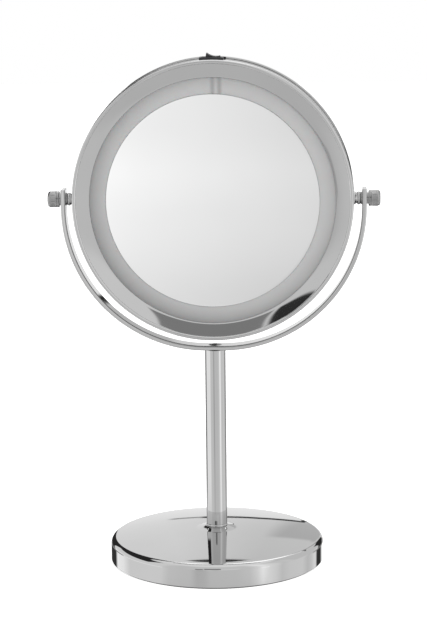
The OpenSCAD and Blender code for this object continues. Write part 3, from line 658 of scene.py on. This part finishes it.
def light_ring():
    ledge_r = size("mirror_carrier")[1].x + 0.6
    ledge_w, thickness = 4, 1.4
    middle = RING_FRONT - thickness
    ring = rounded([(ledge_r, RING_BACK, 0), (ledge_r + ledge_w, RING_BACK, 0),
                    (ledge_r + ledge_w, middle, 0), (RING_OUT_R, middle, 0), (RING_OUT_R, RING_FRONT, 0.25),
                    (GLASS_R + GLASS_GAP, RING_FRONT, 0.3), (GLASS_R + GLASS_GAP, middle, 0),
                    (ledge_r, middle, 0)])
    finished(lathe("light", ring, HEAD), "diffuser_ring", "head", FROSTED)


def mirrors():
    steps = 40
    flat = [(GLASS_R * i / steps, GLASS_BACK) for i in range(steps + 1)]
    edge_r = 0.25
    flat += arc(GLASS_R - edge_r, GLASS_FRONT - edge_r, edge_r, 0, 90, 5)
    flat += [(GLASS_R * (steps - i) / steps, GLASS_FRONT) for i in range(1, steps + 1)]
    finished(lathe("glass", flat, HEAD), "front_mirror", "head", FRONT_GLASS)
    low, high = size("rear_mirror")
    glass_r, edge, thick = high.x, -high.y, 1.9
    depth = -low.y - edge - thick
    radii = [glass_r * i / steps for i in range(steps + 1)]
    bowl = [(r, edge + depth * (1 - (r / glass_r) ** 2)) for r in radii]
    back = [(r, f + thick) for r, f in reversed(bowl)]
    finished(lathe("magnifier", bowl + back, HEAD), "rear_mirror", "rear_cover", REAR_GLASS)


# ---------------------------------------------------------------- pivots and knobs

def reach_x(node):
    """Nearest and furthest distance of a node on the right side from the head's middle, along X."""
    low, high = size(node)
    return low.x, high.x


def pivots(side):
    place = SIDES[side]
    start, end = reach_x("right_collar")
    outer = size("right_collar")[1].y
    middle = (start + end) / 2
    bead, bore_r = 0.9, 2.65
    groove_r, groove_side_r, half_w = outer - 0.8, outer - 0.72, 0.25
    collar = [(bore_r, start), (outer - bead, start)] + arc(outer - bead, start + bead, bead, -90, 42, 12)
    collar += [(groove_side_r, middle - half_w), (groove_r, middle), (groove_side_r, middle + half_w)]
    collar += arc(outer - bead, end - bead, bead, -42, 90, 12) + [(bore_r, end)]
    finished(lathe("collar", collar, place, 96), side + "_collar", "head", CHROME)
    start, end = reach_x("right_washer")
    outer = size("right_washer")[1].y
    hole_r = 3.05
    cone = rounded([(hole_r, start, 0), (3.6, start, 0.15), (outer, end - 0.3, 0.15), (outer, end, 0.1),
                    (hole_r, end, 0)])
    finished(lathe("washer", cone, place, 96), side + "_washer", "head", SATIN)


def knob(side):
    start, end = reach_x("right_knob")
    radius = size("right_knob")[1].z - PIVOT_Z
    neck_r, neck_l, bore_r, bore_l = 3.8, 1.1, 2.95, 4.1
    body_x = start + neck_l
    groove_x = body_x + 1.5
    flutes, flute_depth = 30, 0.17
    flute_low, flute_high = groove_x + 0.5, end - 1.9
    end_r = 2.1

    def fluting(angle, r, along):
        if r < radius - 0.01 or not flute_low < along < flute_high:
            return 0
        runout = min(1, (along - flute_low) / 0.5, (flute_high - along) / 0.5)
        return -flute_depth * runout * abs(math.cos(angle * flutes / 2)) ** 1.5

    outline = [(bore_r, start), (neck_r - 0.15, start), (neck_r, start + 0.15), (neck_r, body_x)]
    shoulder_r = 0.6
    outline += arc(radius - shoulder_r, body_x + shoulder_r, shoulder_r, -90, 0, 6)
    groove_r = radius - 0.22
    outline += [(radius, groove_x - 0.28), (groove_r, groove_x - 0.1), (groove_r, groove_x + 0.1)]
    rows = 28
    grip_x = groove_x + 0.28
    outline += [(radius, grip_x + (end - end_r - grip_x) * i / rows) for i in range(rows + 1)]
    outline += arc(radius - end_r, end - end_r, end_r, 6, 84, 12)
    outline += [(2.2, end - 0.02), (1.2, end), (0, end), (0, start + bore_l), (bore_r, start + bore_l)]
    finished(lathe("knob", outline, SIDES[side], flutes * 10, fluting), side + "_knob", side + "_thumbscrew",
             SATIN)


# ---------------------------------------------------------------- switch

def switch_body():
    low, high = size("switch_body")
    top, bottom = high.z - PIVOT_Z, low.z - PIVOT_Z
    middle = -(low.y + high.y) / 2
    half_l, half_w = high.x, (high.y - low.y) / 2
    body_l, body_w, cavity_l, cavity_w = 6.6, 4.8, 6.1, 3.9
    drum_r = BAND_R + 0.05
    corner = 0.7
    plate = rounded([(-half_l, -half_w, corner), (half_l, -half_w, corner), (half_l, half_w, corner),
                     (-half_l, half_w, corner)])
    standing = HEAD @ Matrix.Translation((0, 0, middle)) @ Matrix.Rotation(math.radians(-90), 4, "X")
    flange = prism("flange", plate, drum_r - 0.9, top, standing)
    bevelled(flange, 0.35, 60)
    pivot = joints["rocker_tip"]["pos_m"][2] / MM - PIVOT_Z
    cavity_d, bearing_r = 4.2, 0.95
    body = combined(
        flange,
        ("DIFFERENCE", rod(drum_r, middle - 9, middle + 9, HEAD, 512)),
        ("UNION", block((-body_l, bottom, middle - body_w), (body_l, top - 0.4, middle + body_w), HEAD)),
        ("DIFFERENCE", block((-cavity_l, pivot - cavity_d, middle - cavity_w),
                             (cavity_l, top + 2, middle + cavity_w), HEAD)),
        ("DIFFERENCE", rod(bearing_r, middle - body_w + 0.3, middle + body_w - 0.3,
                           HEAD @ Matrix.Translation((0, pivot, 0)), 32)))
    finished(body, "switch_body", "head", BLACK)


def switch_rocker():
    pivot = Vector(joints["rocker_tip"]["pos_m"]) / MM
    throw = joints["rocker_tip"]["range_deg"][1]
    half, top, width = 4.45, 6.1, 7.2
    outline = [(-3.3, -1.2)] + arc(0, -0.4, 3.2, 200, 340, 12)
    outline += [(3.3, -1.2), (half - 0.1, 3), (half, top - 0.3), (half - 0.25, top)]
    valley = [half - 0.5 - (2 * half - 1) * i / 16 for i in range(17)]
    outline += [(x, top - 1.15 + 1.05 * (x / (half - 0.05)) ** 2) for x in valley]
    outline += [(-half + 0.25, top), (-half, top - 0.3), (-half + 0.1, 3)]
    place = HEAD @ Matrix.Translation((0, pivot.z - PIVOT_Z, -pivot.y))
    place = place @ Matrix.Rotation(math.radians(-throw / 2), 4, "Z")
    rocker = bevelled(prism("rocker", outline, -width / 2, width / 2, place), 0.28, 50)
    trunnion_r, trunnion_x = 0.9, 4.35
    rocker = combined(rocker, ("UNION", rod(trunnion_r, -trunnion_x, trunnion_x, place, 32)))
    finished(rocker, "switch_rocker", "rocker", BLACK)


# ---------------------------------------------------------------- studio

# brightness of the room at and below eye level, by direction in degrees: 0 is in front of the object,
# 90 to its right, and 180 behind it
ROOM = [
    (-180, 0.05), (-142, 0.04), (-136, 1.25), (-121, 1.25), (-107, 0.96), (-60, 0.98), (-51, 0.86),
    (-27, 0.82), (-19, 0.68), (-11, 0.7), (-5, 0.78), (22, 0.79), (38, 0.86), (46, 1.02), (53, 1.28),
    (61, 1.08), (70, 0.97), (77, 0.83), (87, 0.9), (108, 0.92), (118, 0.77), (126, 0.83), (133, 1.0),
    (138, 1.0), (141, 0.04), (155, 0.04), (161, 0.95), (167, 1.4), (175, 1.4), (180, 0.05),
]
# panels and flags: which way azimuth is counted from, azimuths, elevations, edge softness, brightness
PANELS = [
    ("front", (-60, 60), (-60, -20), 6, 0.7),
    ("front", (4, 26), (1, 18), 4, 0.92),
    ("front", (-11.5, 6.5), (7.5, 27), 0.9, 0.3),
    ("front", (-21, -12.5), (7.5, 17), 1.0, 0.04),
    ("back", (-190, 190), (58, 130), 4, 1.05),
    ("slant", (-12, 22), (-9, 8.4), 1.5, 0.98),
    ("slant", (-4, 30), (7.9, 9.3), 0.7, 0.02),
    ("slant", (-6, -4), (8, 9), 0.7, 0.35),
    ("back", (-24, 40), (33.8, 35.4), 0.7, 0.04),
    ("back", (-24, 24), (36, 64), 1, 1.9),
    ("back", (-38, -13), (-5, 52), 1.5, 0.03),
    ("back", (-100, -34), (24, 52), 2.5, 0.03),
    ("slant", (2, 14), (9.5, 22), 2, 0.6),
    ("back", (18, 38), (-5, 22), 2, 0.03),
    ("back", (15.5, 19), (22, 42), 1, 0.2),
    ("front", (-112, -58), (-15.4, -8), 1.5, 1.2),
    ("front", (-195, -118), (-15.4, -8), 1.5, 0.3),
    ("front", (128, 195), (-15.4, -8), 1.5, 0.3),
    ("front", (-19, -12), (-14.5, -8), 1.5, 0.52),
    ("front", (50, 60), (-15.4, -8), 1.5, 1.45),
]
HORIZON_SLOPE = 0.37    # the backdrop's lower edge falls by this much for each degree to the right
BACKDROP = (0.97, 0.8)  # brightness of the upper backdrop, from its left to its right
UPPER_ROOM = 0.84
ROOM_SCALE = 2.0        # a colour ramp holds no more than 1


def room(tree):
    """Brightness of the studio in every direction."""
    x, y, z = add(tree, "SeparateXYZ", {0: add(tree, "TexCoord").outputs["Generated"]}).outputs
    front = calc(tree, "DEGREES", calc(tree, "ARCTAN2", x, calc(tree, "MULTIPLY", y, -1)))
    back = calc(tree, "DEGREES", calc(tree, "ARCTAN2", x, y))
    rise = calc(tree, "DEGREES", calc(tree, "ARCSINE", z))
    ramp = add(tree, "ValToRGB", {0: remap(tree, front, -180, 180, 0, 1)}).color_ramp
    ramp_node = tree.nodes[-1]
    while len(ramp.elements) > 1:
        ramp.elements.remove(ramp.elements[-1])
    for i, (azimuth, brightness) in enumerate(ROOM):
        place = (azimuth + 180) / 360
        stop = ramp.elements[0] if i == 0 else ramp.elements.new(place)
        stop.position = place
        stop.color = (*[brightness / ROOM_SCALE] * 3, 1)
    low = calc(tree, "MULTIPLY", ramp_node.outputs[0], ROOM_SCALE)
    backdrop = remap(tree, back, -7, 2, *BACKDROP)
    ahead = blend(tree, window(tree, front, -36, 36, 8), low, UPPER_ROOM)
    upper = blend(tree, window(tree, back, -90, 90, 10), ahead, backdrop)
    glow = blend(tree, remap(tree, rise, -4, 3, 0, 1, smooth=True), low, upper)
    slant = calc(tree, "MULTIPLY_ADD", calc(tree, "MAXIMUM", back, 0), HORIZON_SLOPE, rise)
    scales = {"front": (front, rise), "back": (back, rise), "slant": (back, slant)}
    for side, azimuths, elevations, soft, brightness in PANELS:
        along, height = scales[side]
        wide = window(tree, along, *azimuths, soft)
        tall = window(tree, height, *elevations, soft)
        share = calc(tree, "MULTIPLY", wide, tall)
        glow = blend(tree, share, glow, brightness)
    # the patch that the flat glass shows: brighter to the left, dimmer low down, with a soft level band
    sweep = remap(tree, front, -5.9, 0, 0.98, 0.74)
    fall = remap(tree, rise, -10.4, -8, 0.86, 1.0, smooth=True)
    band = calc(tree, "MULTIPLY_ADD", window(tree, rise, -7.4, -6.2, 1.6), 0.06, 1.0)
    seen = calc(tree, "MULTIPLY", sweep, calc(tree, "MULTIPLY", fall, band))
    patch = calc(tree, "MULTIPLY", window(tree, front, -8, 3, 3), window(tree, rise, -11, -3, 1))
    return blend(tree, patch, glow, seen)


def studio():
    """Soft studio room, white to the camera, and a plain pale floor."""
    scene = bpy.context.scene
    world = bpy.data.worlds.new("studio_room")
    scene.world = world
    world.use_nodes = True
    tree = world.node_tree
    tree.nodes.clear()
    seen = add(tree, "LightPath").outputs["Is Camera Ray"]
    lit = add(tree, "Background", {"Color": room(tree)})
    plain = add(tree, "Background", {"Color": (1, 1, 1, 1)})
    mixed = add(tree, "MixShader", {0: seen, 1: lit.outputs[0], 2: plain.outputs[0]})
    add(tree, "OutputWorld", {"Surface": mixed.outputs[0]})
    reach = 4000
    floor = solid("floor", [(-reach, -reach, 0), (reach, -reach, 0), (reach, reach, 0), (-reach, reach, 0)],
                  [(0, 1, 2, 3)])
    floor.visible_glossy = False
    floor.data.materials.append(floor_material())
    key = bpy.data.lights.new("soft_key", "AREA")
    key.energy = 9
    key.size = 1.2
    lamp = bpy.data.objects.new("soft_key", key)
    scene.collection.objects.link(lamp)
    lamp.location = (1.1, -1.3, 1.3)
    lamp.rotation_euler = (Vector((0, 0, 0.2)) - lamp.location).to_track_quat("-Z", "Y").to_euler()
    lamp.visible_glossy = False
    lamp.visible_camera = False
    scene.view_settings.view_transform = "Standard"


def floor_material():
    """Pale floor, near white in the picture, with a light contact shade, and open from below."""
    material = bpy.data.materials.new("pale_floor")
    material.use_nodes = True
    tree = material.node_tree
    tree.nodes.clear()
    paper = wander(tree, 30, 0.78, 0.82)
    matt = add(tree, "BsdfDiffuse", {"Color": paper})
    seen = add(tree, "LightPath").outputs["Is Camera Ray"]
    lift = add(tree, "Emission", {"Strength": calc(tree, "MULTIPLY", seen, 0.72)})
    both = add(tree, "AddShader", {0: matt.outputs[0], 1: lift.outputs[0]})
    clear = add(tree, "BsdfTransparent")
    under = add(tree, "NewGeometry").outputs["Backfacing"]
    mixed = add(tree, "MixShader", {0: under, 1: both.outputs[0], 2: clear.outputs[0]})
    add(tree, "OutputMaterial", {"Surface": mixed.outputs[0]})
    return material


def camera():
    """Long lens a little right of the middle, above the mirror and looking down at it."""
    scene = bpy.context.scene
    distance, height = 1.398, 0.4232    # metres
    azimuth, roll = 0.0506, -0.0108     # radians
    aim = Vector((-0.0009, 0, 0.1604))
    spot = Vector((distance * math.sin(azimuth), -distance * math.cos(azimuth), height))
    data = bpy.data.cameras.new("camera")
    data.lens = 123.0
    made = bpy.data.objects.new("camera", data)
    scene.collection.objects.link(made)
    made.location = spot
    facing = (aim - spot).to_track_quat("-Z", "Y").to_matrix()
    made.rotation_euler = (facing @ Matrix.Rotation(roll, 3, "Z")).to_euler()
    scene.camera = made


camera()
finish_inner_parts()
base_shell()
post()
yoke()
yoke_screw()
bezels()
drum_band()
light_ring()
mirrors()
for each_side in SIDES:
    pivots(each_side)
    knob(each_side)
switch_body()
switch_rocker()
studio()
